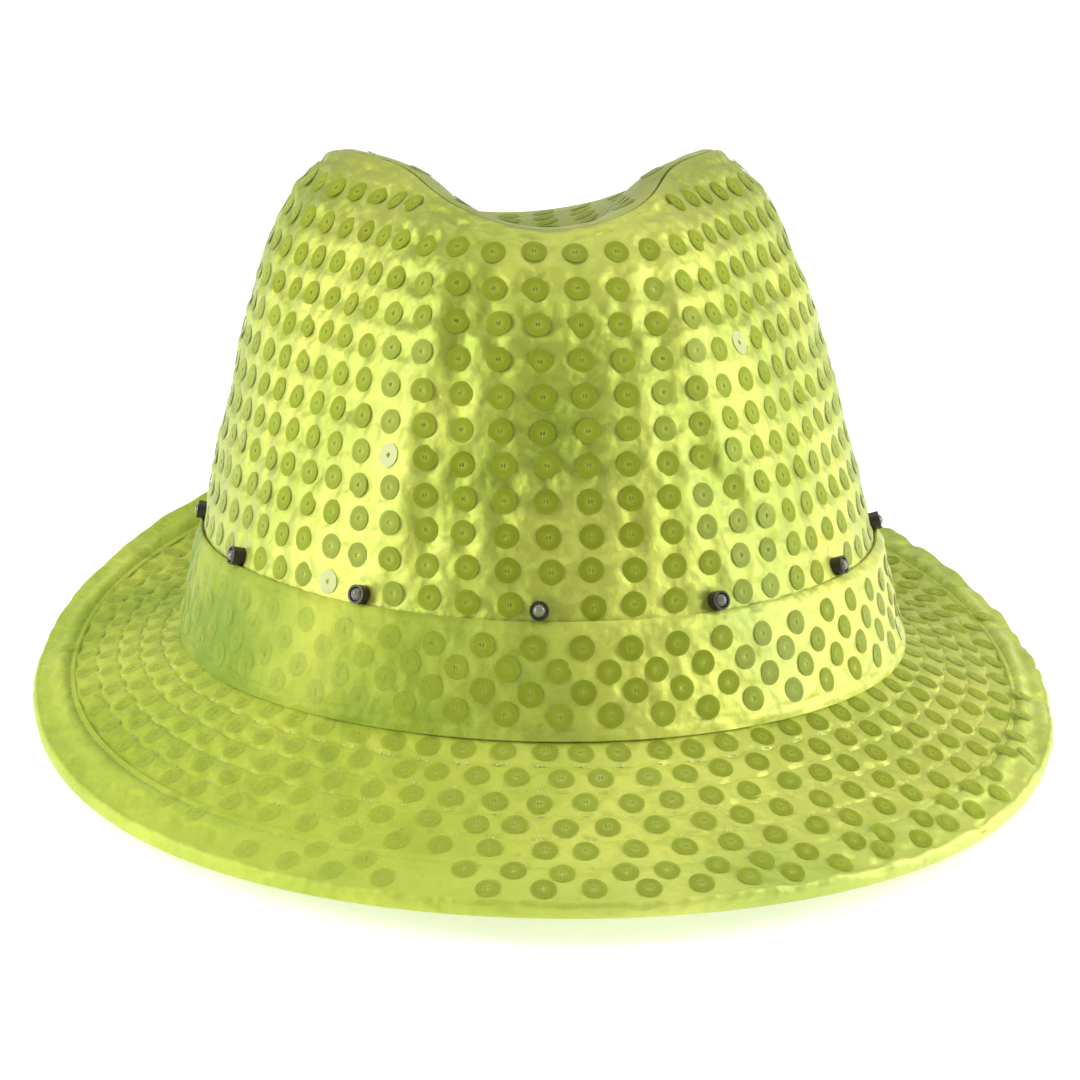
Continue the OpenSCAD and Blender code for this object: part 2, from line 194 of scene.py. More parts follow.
RIPPLE_COUNT, RIPPLE_PHASE, RIPPLE_SUM, RIPPLE_GAIN = 18, 6.28, 6, 1.4
ripple_random = np.random.default_rng(7)
RIPPLE_WAVES = [(ripple_random.normal(size=3), ripple_random.uniform(0, RIPPLE_PHASE))
                for _ in range(RIPPLE_COUNT)]


def ripple(p, length, first=0):
    """Smooth uneven noise, mostly within -1 to 1, from six waves about length mm long."""
    total = 0.0
    for way, phase in RIPPLE_WAVES[first:first + RIPPLE_SUM]:
        total = total + np.sin(p @ (way / np.linalg.norm(way)) * (2 * math.pi / length) + phase)
    return total / RIPPLE_SUM * RIPPLE_GAIN


# ------------------------------------------------------------------ mesh tools
def new_mesh(name, verts, faces, uvs=None, sharp=40):
    mesh = bpy.data.meshes.new(name)
    mesh.from_pydata(np.asarray(verts).tolist(), [], faces.tolist() if hasattr(faces, "tolist") else faces)
    if uvs is not None:
        layer = mesh.uv_layers.new(name="cloth")
        layer.data.foreach_set("uv", np.asarray(uvs, float).ravel())
    mesh.polygons.foreach_set("use_smooth", [True] * len(mesh.polygons))
    mesh.set_sharp_from_angle(angle=math.radians(sharp))
    mesh.update()
    obj = bpy.data.objects.new(name, mesh)
    bpy.context.scene.collection.objects.link(obj)
    return obj


def ring_shell(name, rows, uv):
    """A closed skin from rows of points, each row once round the hat, the last row joined to the first.
    uv holds (along, across) in mm for every row and for one more column than there are points."""
    r, c = rows.shape[:2]
    i, j = np.meshgrid(np.arange(r), np.arange(c), indexing="ij")
    i1, j1 = (i + 1) % r, (j + 1) % c
    faces = np.stack([i * c + j, i * c + j1, i1 * c + j1, i1 * c + j], axis=-1).reshape(-1, 4)
    uv_faces = np.stack([uv[i, j], uv[i, j + 1], uv[i1, j + 1], uv[i1, j]], axis=2).reshape(-1, 2)
    return new_mesh(name, placed(rows.reshape(-1, 3)), faces, uv_faces)


def disc_shell(name, rows, ends, uv, end_uv):
    """A closed skin like a bowl, from rows of points and one point that closes each end."""
    r, c = rows.shape[:2]
    i, j = np.meshgrid(np.arange(r - 1), np.arange(c), indexing="ij")
    j1 = (j + 1) % c
    quads = np.stack([i * c + j, i * c + j1, (i + 1) * c + j1, (i + 1) * c + j], axis=-1).reshape(-1, 4)
    faces = quads.tolist()
    uvs = np.stack([uv[i, j], uv[i, j + 1], uv[i + 1, j + 1], uv[i + 1, j]], axis=2).reshape(-1, 2).tolist()
    for k in range(c):
        faces.append([r * c, (k + 1) % c, k])
        uvs += [end_uv[0], uv[0, k + 1], uv[0, k]]
        faces.append([r * c + 1, (r - 1) * c + k, (r - 1) * c + (k + 1) % c])
        uvs += [end_uv[1], uv[r - 1, k], uv[r - 1, k + 1]]
    verts = np.concatenate([rows.reshape(-1, 3), np.asarray(ends, float)])
    return new_mesh(name, placed(verts), faces, uvs)


def around(n):
    return np.arange(n) * (360.0 / n) - 180.0


def lengths(rows):
    """(along, across) in mm for every point of a skin: along one row of the face that shows, the same
    for all, and across from row to row."""
    closed = np.concatenate([rows, rows[:, :1]], axis=1)
    measured = closed[len(rows) // 4]
    along = np.concatenate([[0], np.cumsum(np.linalg.norm(np.diff(measured, axis=0), axis=1))])
    across = np.concatenate([[0], np.cumsum(np.linalg.norm(np.diff(closed, axis=0), axis=2).mean(axis=1))])
    return np.stack(np.broadcast_arrays(along[None, :], across[:, None]), axis=-1)


def finish_piece(obj, body, material, nodes=()):
    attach(obj, body)
    obj.data.materials.clear()
    obj.data.materials.append(material)
    if nodes:
        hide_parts(*nodes)
    return obj


# ------------------------------------------------------------------ materials
def nodes_of(name):
    mat = bpy.data.materials.new(name)
    mat.use_nodes = True
    nt = mat.node_tree
    return mat, nt, nt.nodes["Principled BSDF"]


def add(nt, kind, **values):
    node = nt.nodes.new(kind)
    for key, value in values.items():
        if key in node.inputs:
            node.inputs[key].default_value = value
        else:
            setattr(node, key, value)
    return node


def stretched(nt, source, scale):
    """Coordinates from the mesh, multiplied along each axis."""
    coord = add(nt, "ShaderNodeTexCoord")
    mapping = add(nt, "ShaderNodeMapping")
    mapping.inputs["Scale"].default_value = scale
    nt.links.new(coord.outputs[source], mapping.inputs["Vector"])
    return mapping.outputs["Vector"]


def noise_tex(nt, vector, scale, detail=3.0, rough=0.55):
    tex = add(nt, "ShaderNodeTexNoise", Scale=scale, Detail=detail, Roughness=rough)
    nt.links.new(vector, tex.inputs["Vector"])
    return tex.outputs["Fac"]


def ramp(nt, factor, stops):
    node = add(nt, "ShaderNodeValToRGB")
    elements = node.color_ramp.elements
    while len(elements) < len(stops):
        elements.new(0.5)
    for element, (place, colour) in zip(elements, stops):
        element.position = place
        element.color = (*colour, 1)
    nt.links.new(factor, node.inputs["Fac"])
    return node.outputs["Color"]


def object_noise(nt, scale, detail=3.0):
    """Noise fixed to the object, at that scale to the metre."""
    return noise_tex(nt, stretched(nt, "Object", (1, 1, 1)), scale, detail)


def span(nt, factor, low, high, start=0.0, end=1.0):
    """Low where the factor is start or less, high from end on, even in between."""
    node = add(nt, "ShaderNodeMapRange")
    node.inputs["From Min"].default_value = start
    node.inputs["From Max"].default_value = end
    node.inputs["To Min"].default_value = low
    node.inputs["To Max"].default_value = high
    nt.links.new(factor, node.inputs["Value"])
    return node.outputs["Result"]


def summed(nt, a, b, share):
    """a plus b times share."""
    node = add(nt, "ShaderNodeMath", operation="MULTIPLY_ADD")
    nt.links.new(b, node.inputs[0])
    node.inputs[1].default_value = share
    nt.links.new(a, node.inputs[2])
    return node.outputs["Value"]


def bumped(nt, bsdf, height, distance, strength=1.0):
    node = add(nt, "ShaderNodeBump", Strength=strength, Distance=distance)
    nt.links.new(height, node.inputs["Height"])
    nt.links.new(node.outputs["Normal"], bsdf.inputs["Normal"])


# where the satin's gloss fades across the hat, in tenths of a metre along X
FADE_START, FADE_END = -0.35, 0.35
TENTHS = (10, 10, 10)


def satin(name, dark, light, sheen=0.25, painted_side_shade=0.0, gloss=0.42, dull=0.42):
    """Lime satin: long floats along the cloth, soft uneven gloss and a slow drift of colour. nap is how far
    the place on the colour ramp rises toward +X in a tenth of a metre, painted shade by side: the -X side is
    painted darker and the +X side lighter. The shine goes from dull on the -X side to gloss on the other."""
    mat, nt, bsdf = nodes_of(name)
    floats = noise_tex(nt, stretched(nt, "UV", (9.0, 0.7, 1)), 1.0, 4.0, 0.6)
    weft = noise_tex(nt, stretched(nt, "UV", (0.9, 6.0, 1)), 1.0, 2.0)
    drift = object_noise(nt, 26.0, 3.0)
    across = add(nt, "ShaderNodeSeparateXYZ")
    nt.links.new(stretched(nt, "Object", TENTHS), across.inputs["Vector"])
    # painted shade by side: the place on the colour ramp rises along X, darker toward -X
    mixed = summed(nt, summed(nt, drift, floats, 0.3), across.outputs["X"], painted_side_shade)
    nt.links.new(ramp(nt, mixed, [(0.42, dark), (0.88, light)]), bsdf.inputs["Base Color"])
    nt.links.new(span(nt, summed(nt, floats, drift, 0.5), 0.30, 0.48), bsdf.inputs["Roughness"])
    crumple = object_noise(nt, 210.0, 1.5)
    fine = summed(nt, floats, weft, 0.6)
    bumped(nt, bsdf, summed(nt, summed(nt, crumple, drift, 1.5), fine, 0.06), 0.0016, 0.8)
    tangent = add(nt, "ShaderNodeTangent", direction_type="UV_MAP", uv_map="cloth")
    nt.links.new(tangent.outputs["Tangent"], bsdf.inputs["Tangent"])
    bsdf.inputs["Anisotropic"].default_value = 0.4
    for socket, low, high in (("Metallic", dull, gloss), ("Specular IOR Level", 0.1 + dull, 0.8),
                              ("Coat Weight", dull * 0.8, 0.4)):
        across_hat = span(nt, across.outputs["X"], low, high, FADE_START, FADE_END)
        nt.links.new(across_hat, bsdf.inputs[socket])
    bsdf.inputs["Sheen Weight"].default_value = sheen
    bsdf.inputs["Sheen Roughness"].default_value = 0.4
    bsdf.inputs["Sheen Tint"].default_value = (0.95, 1.0, 0.6, 1)
    bsdf.inputs["Coat Roughness"].default_value = 0.42
    return mat


def sequin_film(name, dark, light, glint):
    """Tinted clear film over the satin, a little cloudy. Each sequin's tone is in the red channel of
    its mesh colours, and how solid the film looks is in the green one."""
    mat, nt, bsdf = nodes_of(name)
    tone = add(nt, "ShaderNodeVertexColor", layer_name="tone")
    separate = add(nt, "ShaderNodeSeparateColor")
    nt.links.new(tone.outputs["Color"], separate.inputs["Color"])
    cloud = object_noise(nt, 520.0, 3.0)
    mixed = summed(nt, separate.outputs["Red"], cloud, 0.15)
    nt.links.new(ramp(nt, mixed, [(0.0, dark), (0.8, light), (1.0, glint)]), bsdf.inputs["Base Color"])
    nt.links.new(span(nt, cloud, 0.22, 0.42), bsdf.inputs["Roughness"])
    bumped(nt, bsdf, cloud, 0.00006, 0.4)
    nt.links.new(separate.outputs["Green"], bsdf.inputs["Alpha"])
    bsdf.inputs["Specular IOR Level"].default_value = 0.15
    return mat


def thread(name, colour):
    mat, nt, bsdf = nodes_of(name)
    twist = object_noise(nt, 5200.0, 2.0)
    nt.links.new(ramp(nt, twist, [(0.3, tuple(0.75 * c for c in colour)), (0.75, colour)]),
                 bsdf.inputs["Base Color"])
    nt.links.new(span(nt, twist, 0.45, 0.7), bsdf.inputs["Roughness"])
    bumped(nt, bsdf, twist, 0.00006, 0.6)
    bsdf.inputs["Sheen Weight"].default_value = 0.3
    return mat


def plain_weave(name, dark, light, per_mm, rib=1.0):
    """Matt cloth: crossing yarns at per_mm threads a millimetre, rib times as coarse along the cloth."""
    mat, nt, bsdf = nodes_of(name)
    yarns = []
    for scale, way in ((per_mm * 0.31, "X"), (per_mm * 0.31 / rib, "Y")):
        wave = add(nt, "ShaderNodeTexWave", bands_direction=way)
        wave.inputs["Scale"].default_value = scale
        wave.inputs["Distortion"].default_value = 0.8
        wave.inputs["Detail Scale"].default_value = 2.0
        nt.links.new(stretched(nt, "UV", (1, 1, 1)), wave.inputs["Vector"])
        yarns.append(wave.outputs["Fac"])
    weave = summed(nt, yarns[0], yarns[1], 0.8)
    blot = object_noise(nt, 45.0, 4.0)
    tone = summed(nt, blot, weave, 0.12)
    nt.links.new(ramp(nt, tone, [(0.3, dark), (0.85, light)]), bsdf.inputs["Base Color"])
    nt.links.new(span(nt, blot, 0.7, 0.9), bsdf.inputs["Roughness"])
    bumped(nt, bsdf, weave, 0.00012, 0.5)
    bsdf.inputs["Sheen Weight"].default_value = 0.15
    return mat


def grained(name, dark, light, rough, grain, depth=0.00003, metal=0.0):
    """Moulded plastic, rubber or metal with fine grain and slight wear of tone."""
    mat, nt, bsdf = nodes_of(name)
    fine = object_noise(nt, grain, 3.0)
    wear = object_noise(nt, 160.0, 4.0)
    nt.links.new(ramp(nt, wear, [(0.3, dark), (0.75, light)]), bsdf.inputs["Base Color"])
    nt.links.new(span(nt, fine, *rough), bsdf.inputs["Roughness"])
    bumped(nt, bsdf, fine, depth, 0.5)
    bsdf.inputs["Metallic"].default_value = metal
    return mat


def clear_resin(name):
    mat, nt, bsdf = nodes_of(name)
    streak = object_noise(nt, 900.0, 2.0)
    nt.links.new(ramp(nt, streak, [(0.2, (0.9, 0.92, 0.86)), (0.8, (0.98, 0.99, 0.96))]),
                 bsdf.inputs["Base Color"])
    nt.links.new(span(nt, streak, 0.03, 0.09), bsdf.inputs["Roughness"])
    bsdf.inputs["Transmission Weight"].default_value = 0.85
    bsdf.inputs["IOR"].default_value = 1.5
    return mat


# The X slopes below paint shade on each satin's -X side and light toward +X, most on the band, whose low dark
# stop is painted shade as well.
mat_satin = satin("lime_satin", (0.31, 0.41, 0.016), (0.68, 0.73, 0.11), painted_side_shade=0.04, gloss=0.56, dull=0.56)
mat_band = satin("lime_satin_band", (0.23, 0.34, 0.020), (0.70, 0.76, 0.10), painted_side_shade=0.26, gloss=0.45, dull=0.03)
mat_brim = satin("lime_satin_brim", (0.40, 0.52, 0.038), (0.70, 0.76, 0.10), painted_side_shade=0.10, dull=0.08)
mat_binding = satin("lime_satin_bias", (0.42, 0.55, 0.045), (0.66, 0.75, 0.10), painted_side_shade=0.08, gloss=0.3, dull=0.1)
mat_under = satin("lime_satin_plain", (0.40, 0.52, 0.045), (0.55, 0.66, 0.08), sheen=0.15, gloss=0.3,
                  dull=0.3)
mat_sequin = sequin_film("lime_sequin_film", (0.28, 0.35, 0.016), (0.50, 0.60, 0.055), (0.74, 0.80, 0.36))
mat_thread = thread("lime_thread", (0.58, 0.68, 0.14))
# The brim's quilting thread is lighter than the other lime thread: its lime is its own, the extra lightness
# is a painted sheen along the stitches.
mat_quilting_sheen = thread("brim_thread", (0.82, 0.90, 0.34))
mat_white_thread = thread("white_thread", (0.85, 0.84, 0.78))
mat_lining = plain_weave("lining_cloth", (0.60, 0.58, 0.51), (0.78, 0.76, 0.69), 2.6)
mat_sweat = plain_weave("sweatband_ribbon", (0.82, 0.81, 0.77), (0.95, 0.94, 0.91), 2.4, 0.5)
mat_buckram = plain_weave("buckram", (0.70, 0.68, 0.60), (0.86, 0.84, 0.77), 1.1)
mat_board = grained("brim_board", (0.74, 0.73, 0.68), (0.86, 0.85, 0.80), (0.8, 0.95), 900.0, 0.0001)
mat_black_rubber = grained("black_sleeve", (0.020, 0.017, 0.012), (0.05, 0.042, 0.03), (0.3, 0.5), 1500.0)
mat_wire = grained("wire_insulation", (0.015, 0.015, 0.016), (0.03, 0.03, 0.03), (0.28, 0.42), 1200.0)
mat_case = grained("case_plastic", (0.022, 0.022, 0.024), (0.045, 0.045, 0.047), (0.38, 0.55), 2600.0,
                   0.00005)
mat_switch = grained("switch_plastic", (0.03, 0.03, 0.035), (0.06, 0.06, 0.065), (0.4, 0.55), 2400.0)
mat_button = grained("button_plastic", (0.55, 0.02, 0.015), (0.68, 0.035, 0.03), (0.18, 0.3), 1800.0)
mat_steel = grained("zinc_steel", (0.5, 0.5, 0.48), (0.66, 0.66, 0.64), (0.25, 0.42), 2000.0, 0.00002, 1.0)
mat_tin = grained("tinned_wire", (0.6, 0.6, 0.58), (0.75, 0.75, 0.73), (0.25, 0.45), 3000.0, 0.00001, 1.0)
mat_nickel = grained("nickel_strip", (0.58, 0.55, 0.48), (0.72, 0.69, 0.62), (0.2, 0.35), 2500.0, 0.00001,
                     1.0)
mat_board_green = grained("board_laminate", (0.01, 0.12, 0.04), (0.02, 0.2, 0.07), (0.3, 0.45), 1400.0)
mat_resin_black = grained("chip_resin", (0.01, 0.01, 0.01), (0.02, 0.02, 0.02), (0.12, 0.25), 700.0)
mat_clear = clear_resin("led_resin")

CAD_MATERIALS = {
    "front_stiffener": mat_buckram, "back_stiffener": mat_buckram, "tip_stiffener": mat_buckram,
    "brim_stiffener": mat_board, "led_lenses": mat_clear,
    "led_sleeves": mat_black_rubber, "led_leads": mat_tin, "led_wire_ring": mat_wire,
    "battery_lead": mat_wire, "battery_case": mat_case, "battery_lid": mat_case,
    "lid_screw": mat_steel, "coin_cells": mat_steel, "battery_contacts": mat_nickel,
    "flasher_board": mat_board_green, "chip_blob": mat_resin_black, "push_switch": mat_switch,
    "switch_button": mat_button,
}
for node_name, material in CAD_MATERIALS.items():
    node = frame["nodes"][node_name]
    node.data.materials.clear()
    node.data.materials.append(material)


# ------------------------------------------------------------------ sequins and stitches
SEQUIN_R, SEQUIN_HOLE, SEQUIN_T, SEQUIN_SIDES = 2.8, 0.5, 0.05, 24
SEQUIN_LIFT, SEQUIN_TILT, SEQUIN_DRIFT_U, SEQUIN_DRIFT_V = 0.06, 0.015, 0.25, 0.2
RING_TONES = np.array([0.0, 0.0, -0.08, 0.08, 0.24, 0.45, 0.45])
# The fade tone on the next line and the film share below it paint the discs low on the -X side to blend into
# the satin, a painted look of the light there.
TONE_MEAN, TONE_SPREAD, TONE_PAINTED_FADE, TONE_GLINT = 0.26, 0.05, 0.74, 0.97
FILM_PAINTED_FADE = 0.18
random_seat = np.random.default_rng(21)


def local_frames(surface, u, v, du, dv):
    """Points of a surface(u, v) with their unit tangents and normals."""
    p = surface(u, v)
    tu = surface(u + du, v) - surface(u - du, v)
    tv = surface(u, v + dv) - surface(u, v - dv)
    tu /= np.linalg.norm(tu, axis=-1, keepdims=True)
    n = np.cross(tu, tv)
    n /= np.linalg.norm(n, axis=-1, keepdims=True)
    return p, tu, np.cross(n, tu), n


def seated(surface, u, v, du, dv):
    """Frames of discs laid on a surface(u, v), each just high enough to clear the cloth under it."""
    along = surface(u + du, v) - surface(u - du, v)
    over = surface(u, v + dv) - surface(u, v - dv)
    du = np.clip(du * 2 * SEQUIN_R / np.linalg.norm(along, axis=-1), 0, 30)
    dv = dv * 2 * SEQUIN_R / np.linalg.norm(over, axis=-1)
    p, tu, tv, n = local_frames(surface, u, v, du, dv)
    heights = []
    for turn in np.linspace(0, 2 * math.pi, 12, endpoint=False):
        for reach in (0.5, 0.95):
            beside = surface(u + reach * du * math.cos(turn), v + reach * dv * math.sin(turn))
            heights.append(((beside - p) * n).sum(axis=-1))
    clear = np.clip(np.max(heights, axis=0), 0, 0.6)
    return p + n * clear[:, None], tu, tv, n


def sequin_discs(name, p, tu, tv, n, shine=0.006, film=0.64):
    """Thin discs with a hole, each on its own slight tilt, as one mesh with a tone per ring. Low on the -X
    side the look of the light there is painted into the discs: their film shows less and their tones are even
    and near the satin's, though the discs are not turned."""
    count, sides = len(p), SEQUIN_SIDES
    turn = np.linspace(0, 2 * math.pi, sides, endpoint=False)
    rings = [(SEQUIN_R, 0.0), (SEQUIN_R, SEQUIN_T), (SEQUIN_R * 0.72, SEQUIN_T),
             (SEQUIN_R * 0.46, SEQUIN_T + 0.03), (SEQUIN_R * 0.34, SEQUIN_T),
             (SEQUIN_HOLE, SEQUIN_T - 0.02), (SEQUIN_HOLE, -0.02)]
    lean_u = random_seat.normal(0, SEQUIN_TILT, (count, 1))
    lean_v = random_seat.normal(0, SEQUIN_TILT, (count, 1))
    up = n + lean_u * tu + lean_v * tv
    up /= np.linalg.norm(up, axis=1, keepdims=True)
    side = np.cross(tv, up)
    side /= np.linalg.norm(side, axis=1, keepdims=True)
    other = np.cross(up, side)
    seat = (p + n * SEQUIN_LIFT + random_seat.normal(0, SEQUIN_DRIFT_U, (count, 1)) * tu
            + random_seat.normal(0, SEQUIN_DRIFT_V, (count, 1)) * tv)
    verts = []
    for radius, height in rings:
        ring = (seat[:, None] + radius * np.cos(turn)[None, :, None] * side[:, None]
                + radius * np.sin(turn)[None, :, None] * other[:, None] + height * up[:, None])
        verts.append(ring)
    verts = np.stack(verts, axis=1)
    k = len(rings)
    disc, i, j = np.meshgrid(np.arange(count), np.arange(k), np.arange(sides), indexing="ij")
    i1, j1 = (i + 1) % k, (j + 1) % sides
    base = disc * k * sides
    faces = np.stack([base + i * sides + j, base + i * sides + j1,
                      base + i1 * sides + j1, base + i1 * sides + j], axis=-1).reshape(-1, 4)
    obj = new_mesh(name, placed(verts.reshape(-1, 3)), faces, None, 50)
    # painted fade: low on the -X side the discs are painted to blend into the satin, as the light there makes
    # them look
    painted_fade = eased(-p[:, 0] - 8, 40) * eased(BAND_H + 4 - p[:, 2], 4)
    tone = TONE_MEAN + 0.16 * ripple(p, 95, 4) + random_seat.normal(0, TONE_SPREAD, count)
    tone = tone + (TONE_PAINTED_FADE - tone) * painted_fade
    glints = random_seat.random(count) < shine
    ring_tone = np.clip(tone[:, None] + RING_TONES[None, :] * (1 - painted_fade)[:, None], 0, 0.8)
    ring_tone[glints] = TONE_GLINT
    solid = np.repeat(film - (film - FILM_PAINTED_FADE) * painted_fade + 0.1 * glints, k * sides)
    red = np.repeat(ring_tone.ravel(), sides)
    layer = obj.data.color_attributes.new("tone", "FLOAT_COLOR", "POINT")
    layer.data.foreach_set("color", np.stack([red, solid, red, np.ones(len(red))], axis=1).ravel())
    return obj, seat, up, other


def tubes(name, paths, radius, sides=6):
    """Round threads along paths of the same number of points, closed at both ends, as one mesh."""
    paths = np.asarray(paths, float)
    count, m = paths.shape[:2]
    way = np.gradient(paths, axis=1)
    way /= np.linalg.norm(way, axis=-1, keepdims=True)
    helper = np.where(np.abs(way[..., 2:3]) > 0.8, [[1.0, 0, 0]], [[0, 0, 1.0]])
    a = np.cross(way, helper)
    a /= np.linalg.norm(a, axis=-1, keepdims=True)
    b = np.cross(way, a)
    turn = np.linspace(0, 2 * math.pi, sides, endpoint=False)
    taper = np.ones(m)
    taper[0] = taper[-1] = 0.45
    r = radius * taper[None, :, None, None]
    verts = paths[:, :, None] + r * (np.cos(turn)[None, None, :, None] * a[:, :, None]
                                     + np.sin(turn)[None, None, :, None] * b[:, :, None])
    t, i, j = np.meshgrid(np.arange(count), np.arange(m - 1), np.arange(sides), indexing="ij")
    j1 = (j + 1) % sides
    base = t * m * sides
    quads = np.stack([base + i * sides + j, base + i * sides + j1, base + (i + 1) * sides + j1,
                      base + (i + 1) * sides + j], axis=-1).reshape(-1, 4).tolist()
    for c in range(count):
        first = c * m * sides
        last = first + (m - 1) * sides
        quads.append([first + s for s in range(sides)][::-1])
        quads.append([last + s for s in range(sides)])
    return new_mesh(name, placed(verts.reshape(-1, 3)), quads, None, 60)


def stitches_along(surface, u0, u1, count, v, sink=0.25, rise=0.28, fill=0.72):
    """Paths of straight stitches along a line of a surface at constant v, from u0 to u1."""
    step = (u1 - u0) / count
    start = u0 + step * np.arange(count)
    shares = np.array([0.0, 0.12, 0.35, 0.65, 0.88, 1.0])
    heights = np.array([-sink, 0.1, rise, rise, 0.1, -sink])
    u = start[:, None] + step * fill * shares[None, :]
    v = np.broadcast_to(np.asarray(v, float), u.shape)
    p, _, _, n = local_frames(surface, u, v, abs(step) * 0.2, 0.004)
    return p + n * heights[None, :, None]


# ------------------------------------------------------------------ crown
CROWN_DU, CROWN_DV, CROWN_ROW0, CROWN_ROWS = 9.3, 7.35, 3.4, 13
GRID_TURN, GRID_LEVELS, GRID_END = 720, 40, 0.001
grid_a = np.linspace(-180, 180, GRID_TURN + 1)
grid_t = np.linspace(0, 1, GRID_LEVELS + 1)
grid_points = wall_point(grid_a[None, :], grid_t[:, None], 0.0)
steps = np.linalg.norm(np.diff(grid_points, axis=1), axis=2)
grid_s = np.concatenate([np.zeros((GRID_LEVELS + 1, 1)), np.cumsum(steps, axis=1)], axis=1)
grid_s -= grid_s[:, [GRID_TURN // 2]]


def from_front(a, t):
    """How far round the wall a point lies from the front middle, mm, at its own level."""
    i = np.clip((wrap(a) + 180) * (GRID_TURN / 360), 0, GRID_TURN - GRID_END)
    j = np.clip(np.asarray(t, float) * GRID_LEVELS, 0, GRID_LEVELS - GRID_END)
    i0, j0 = np.floor(i).astype(int), np.floor(j).astype(int)
    u, v = i - i0, j - j0
    low = grid_s[j0, i0] * (1 - u) + grid_s[j0, i0 + 1] * u
    high = grid_s[j0 + 1, i0] * (1 - u) + grid_s[j0 + 1, i0 + 1] * u
    return low * (1 - v) + high * v


def crown_lattice(a, t, h):
    """Waves of the cloth between the sequins of the crown, 2 at a sequin and -2 midway between four."""
    s = from_front(a, t)
    return (np.cos(2 * math.pi * (s / CROWN_DU - 0.5))
            + np.cos(2 * math.pi * (h - BAND_H - CROWN_ROW0) / CROWN_DV))


def crown_creases(a, t):
    """Two creases run down the front. Each stands out along its line, and the cloth on its inner side
    is pressed in."""
    total = 0.0
    for crease, way in ((8.5 * t - 33, 1), (28 + 80 * (t - 0.74) ** 2, -1)):
        off = wrap(a - crease) * way
        total = total + 0.9 * bump(off + 1.5, 3.6) - 0.55 * bump(off - 5.5, 6.0)
    return total * eased(t - 0.26, 0.12) * eased(0.97 - t, 0.12)


def crown_swell(a, t):
    """How far the crown cloth stands out of its rule, mm."""
    h = t * wall_h(a, 0.0)
    p = wall_point(a, t, 0.0)
    free = eased(h - BAND_H + 1, 5) * eased(1 - t, 0.03)
    slow = 0.3 + 0.4 * ripple(p, 58, 0) + 0.3 * ripple(p, 21, 6)
    pucker = 0.2 * ripple(p, 5.5, 12) * (1 + ripple(p, 30, 3))
    seam = bump(180 - np.abs(wrap(a)), 0.9)
    roll = 0.3 * bump((1 - t) * 100 - 0.7, 0.6)
    stitch = -0.35 * bump((1 - t) * 100 - 2.0, 0.4)
    cloth = slow + pucker - 0.19 * crown_lattice(a, t, h) + crown_creases(a, t)
    return free * cloth * (1 - seam) + roll + stitch - 0.35 * seam * eased(h, 3) * (t < 0.99)


def crown_face(a, t):
    return wall_point(a, t, -crown_swell(a, t))


# points round each skin
ROUND_CROWN, ROUND_TIP, ROUND_BRIM, ROUND_LINING, ROUND_LINING_TIP, ROUND_SWEAT = 640, 320, 800, 384, 192, 512
a = around(ROUND_CROWN)[None, :]
t = np.concatenate([np.linspace(0, 0.2, 8)[:-1], np.linspace(0.2, 0.93, 88)[:-1],
                    np.linspace(0.93, 1, 14)])[:, None]
outer = crown_face(a, t)
edge = wall_point(a, 1.0 + 0 * a, FABRIC / 2)[0][None] + [0, 0, 0.12]
inner = wall_point(a, np.array([1, 0.97, 0.9, 0.8, 0.65, 0.5, 0.35, 0.2, 0.1, 0])[:, None], FABRIC)
rows = np.concatenate([outer, edge, inner])
crown_side = ring_shell("crown_side_cloth", rows, lengths(rows))
finish_piece(crown_side, "hat", mat_satin, ["crown_side_panel"])


def tip_swell(a, rho):
    p = tip_point(a, rho, 0.0)
    free = eased(1 - rho, 0.06)
    return free * (0.35 + 0.3 * ripple(p, 48, 3) + 0.2 * ripple(p, 19, 9))


def tip_face(a, rho):
    return tip_point(a, rho, -tip_swell(a, rho))


a = around(ROUND_TIP)[None, :]
limit = rim_share(a, BUCKRAM_D)
shares = np.concatenate([np.linspace(0.03, 0.9, 58)[:-1], np.linspace(0.9, 1, 9)])[:, None]
outer = tip_face(a, shares * limit)
edge = tip_point(a, limit, FABRIC / 2)
inner = tip_point(a, np.array([1, 0.9, 0.7, 0.5, 0.3, 0.1])[:, None] * limit, FABRIC)
rows = np.concatenate([outer, edge, inner])
flat_uv = np.concatenate([rows, rows[:, :1]], axis=1)[..., :2]
ends = [tip_point(0.0, 0.0, -0.3), tip_point(0.0, 0.0, FABRIC)]
crown_tip = disc_shell("crown_tip_cloth", rows, ends, flat_uv, [ends[0][:2], ends[1][:2]])
finish_piece(crown_tip, "hat", mat_satin, ["crown_tip"])

RIM_CLEAR, SEAM_CLEAR, LED_CLEAR_A, LED_CLEAR_H = 3.0, 2, 3.4, 5.2
seats = []
for row in range(CROWN_ROWS):
    h = BAND_H + CROWN_ROW0 + CROWN_DV * row
    inner_a = grid_a[1:-1]
    round_s = from_front(inner_a, h / wall_h(inner_a, 0.0))
    half = int(min(-round_s[0], round_s[-1]) / CROWN_DU)
    at = (np.arange(-half, half) + 0.5) * CROWN_DU
    seats += [(x, h) for x in np.interp(at, round_s, inner_a)]
sa, sh = np.array(seats).T
keep = (sh < wall_h(sa, 0.0) - RIM_CLEAR) & (180 - np.abs(wrap(sa)) > SEAM_CLEAR)
led_angles = LED_FIRST + 360.0 / LED_COUNT * np.arange(LED_COUNT)
for led in led_angles:
    keep &= ~((np.abs(wrap(sa - led)) < LED_CLEAR_A) & (np.abs(sh - LED_H) < LED_CLEAR_H))
sa, sh = sa[keep], sh[keep]
st = sh / wall_h(sa, 0.0)
p, tu, tv, n = seated(crown_face, sa, st, 0.4, 0.006)
crown_sequins, seat, up, other = sequin_discs("crown_sequins", p, tu, tv, n)
